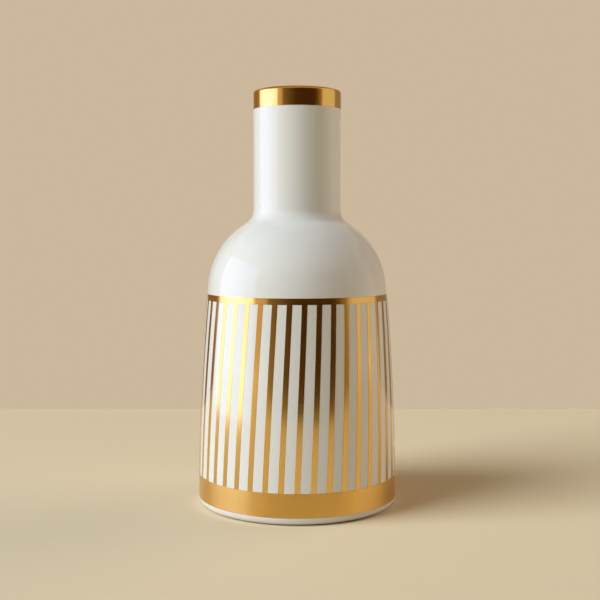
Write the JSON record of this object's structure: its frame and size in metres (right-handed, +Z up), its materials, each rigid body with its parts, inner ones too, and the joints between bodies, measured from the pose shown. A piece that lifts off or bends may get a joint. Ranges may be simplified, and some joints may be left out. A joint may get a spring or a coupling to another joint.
{
  "type": "bottle vase",
  "caption": "White glazed stoneware bottle vase with a straight neck, round shoulder and wide flat base, gold bands and slanted gold stripes, for holding cut stems.",
  "frame": {"origin": "on the table, at the vase's axis, in the plane of the foot ring's underside", "axes": "+Z up along the vase's axis to the mouth, -Y to the front of the picture, +X to its right"},
  "size_m": [0.1262, 0.1262, 0.2602],
  "materials": {
    "stoneware": "bare fired clay, matte",
    "white_glaze": "white gloss glaze",
    "gold_lustre": "bright fired gold"
  },
  "bodies": {
    "root": {"stoneware_body": "stoneware", "outer_glaze": "white_glaze", "liner_glaze": "white_glaze", "underside_glaze": "white_glaze", "gold_rim": "gold_lustre", "gold_shoulder_ring": "gold_lustre", "gold_base_band": "gold_lustre", "gold_stripe_01": "gold_lustre", "gold_stripe_02": "gold_lustre", "gold_stripe_03": "gold_lustre", "gold_stripe_04": "gold_lustre", "gold_stripe_05": "gold_lustre", "gold_stripe_06": "gold_lustre", "gold_stripe_07": "gold_lustre", "gold_stripe_08": "gold_lustre", "gold_stripe_09": "gold_lustre", "gold_stripe_10": "gold_lustre", "gold_stripe_11": "gold_lustre", "gold_stripe_12": "gold_lustre", "gold_stripe_13": "gold_lustre", "gold_stripe_14": "gold_lustre", "gold_stripe_15": "gold_lustre", "gold_stripe_16": "gold_lustre", "gold_stripe_17": "gold_lustre", "gold_stripe_18": "gold_lustre", "gold_stripe_19": "gold_lustre", "gold_stripe_20": "gold_lustre", "gold_stripe_21": "gold_lustre", "gold_stripe_22": "gold_lustre", "gold_stripe_23": "gold_lustre", "gold_stripe_24": "gold_lustre", "gold_stripe_25": "gold_lustre", "gold_stripe_26": "gold_lustre", "gold_stripe_27": "gold_lustre", "gold_stripe_28": "gold_lustre", "gold_stripe_29": "gold_lustre", "gold_stripe_30": "gold_lustre", "gold_stripe_31": "gold_lustre", "gold_stripe_32": "gold_lustre", "gold_stripe_33": "gold_lustre", "gold_stripe_34": "gold_lustre", "gold_stripe_35": "gold_lustre", "gold_stripe_36": "gold_lustre", "gold_stripe_37": "gold_lustre", "gold_stripe_38": "gold_lustre", "gold_stripe_39": "gold_lustre", "gold_stripe_40": "gold_lustre", "gold_stripe_41": "gold_lustre"}
  },
  "joints": []
}
